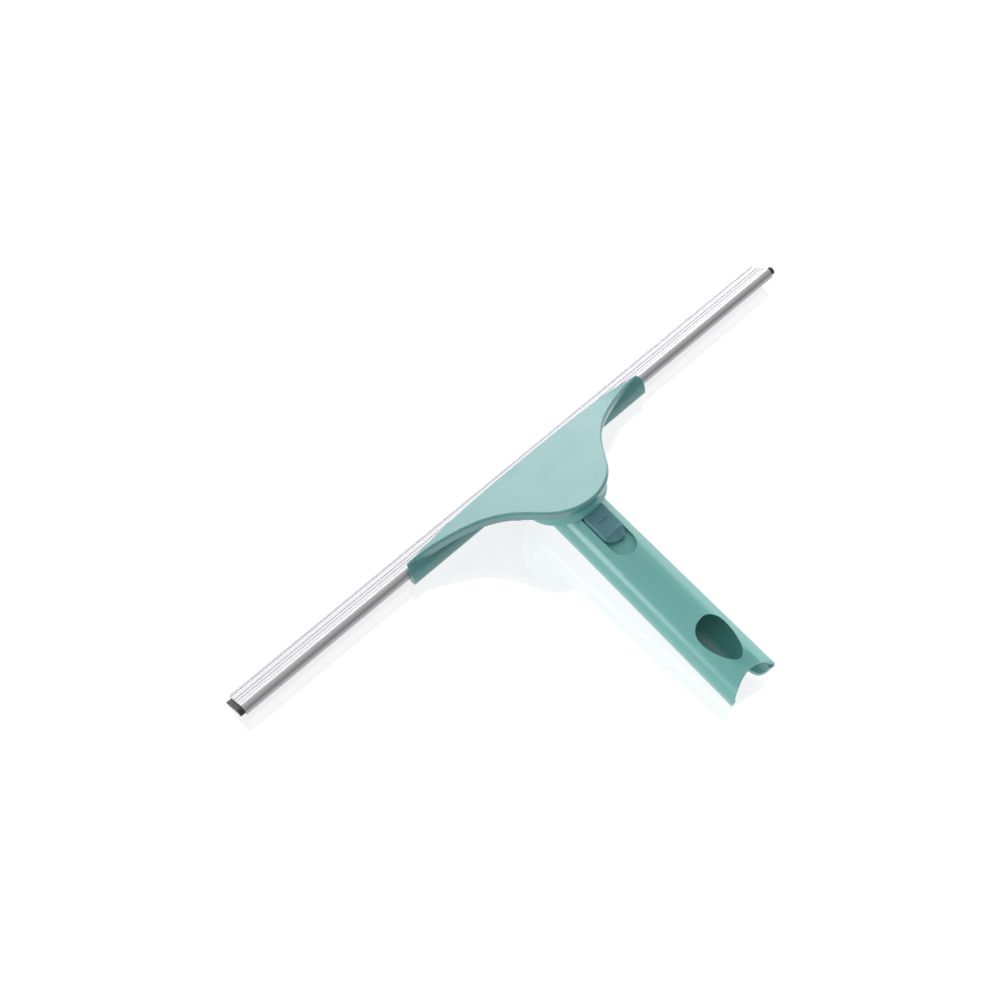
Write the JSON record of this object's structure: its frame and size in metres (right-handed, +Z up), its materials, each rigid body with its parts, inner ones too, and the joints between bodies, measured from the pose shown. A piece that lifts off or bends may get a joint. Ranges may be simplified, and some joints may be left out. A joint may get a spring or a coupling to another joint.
{
  "type": "window cleaning squeegee",
  "caption": "Window squeegee: long metal rail with a rubber blade, fan-shaped swivelling head, thumb-slide lock and short tube handle with a pole socket.",
  "frame": {"origin": "on the floor plane, under the centre of the overall box, with the squeegee lying on its blade lip and the tail of its handle", "axes": "+X along the rail, +Z up, the handle points along -Y and the blade's lip is at +Y"},
  "size_m": [0.406, 0.1843, 0.0546],
  "materials": {
    "grip_plastic": "satin moulded plastic, blue-green",
    "head_plastic": "satin moulded plastic, pale blue-green",
    "button_plastic": "fine matt moulded plastic, dark blue-green",
    "acetal": "natural white",
    "aluminium": "satin anodised extrusion",
    "rubber": "smooth moulded rubber",
    "steel": "zinc plated"
  },
  "bodies": {
    "handle": {"handle_grip": "grip_plastic", "pivot_cap": "grip_plastic", "glide_ring": "acetal", "wave_washer": "steel", "pivot_bush": "acetal", "lock_guide": "acetal", "guide_screws": "steel", "detent_spring": "steel"},
    "lock": {"lock_button": "button_plastic", "lock_bolt": "acetal"},
    "head": {"head_shell": "head_plastic", "swivel_hub": "head_plastic", "hub_screws": "steel", "pivot_screw": "steel", "pivot_washer": "steel", "aluminium_rail": "aluminium", "rubber_blade": "rubber", "rail_screws": "steel"}
  },
  "joints": [
    {"name": "lock_slide", "type": "slide", "parent": "handle", "child": "lock", "axis": [0, -0.9962, -0.087], "range_m": [0, 0.0075]},
    {"name": "head_swivel", "type": "hinge", "parent": "handle", "child": "head", "pos_m": [0, 0.0538, 0.04356], "axis": [0, 0.4104, 0.9119], "range_deg": [-90, 90]}
  ]
}
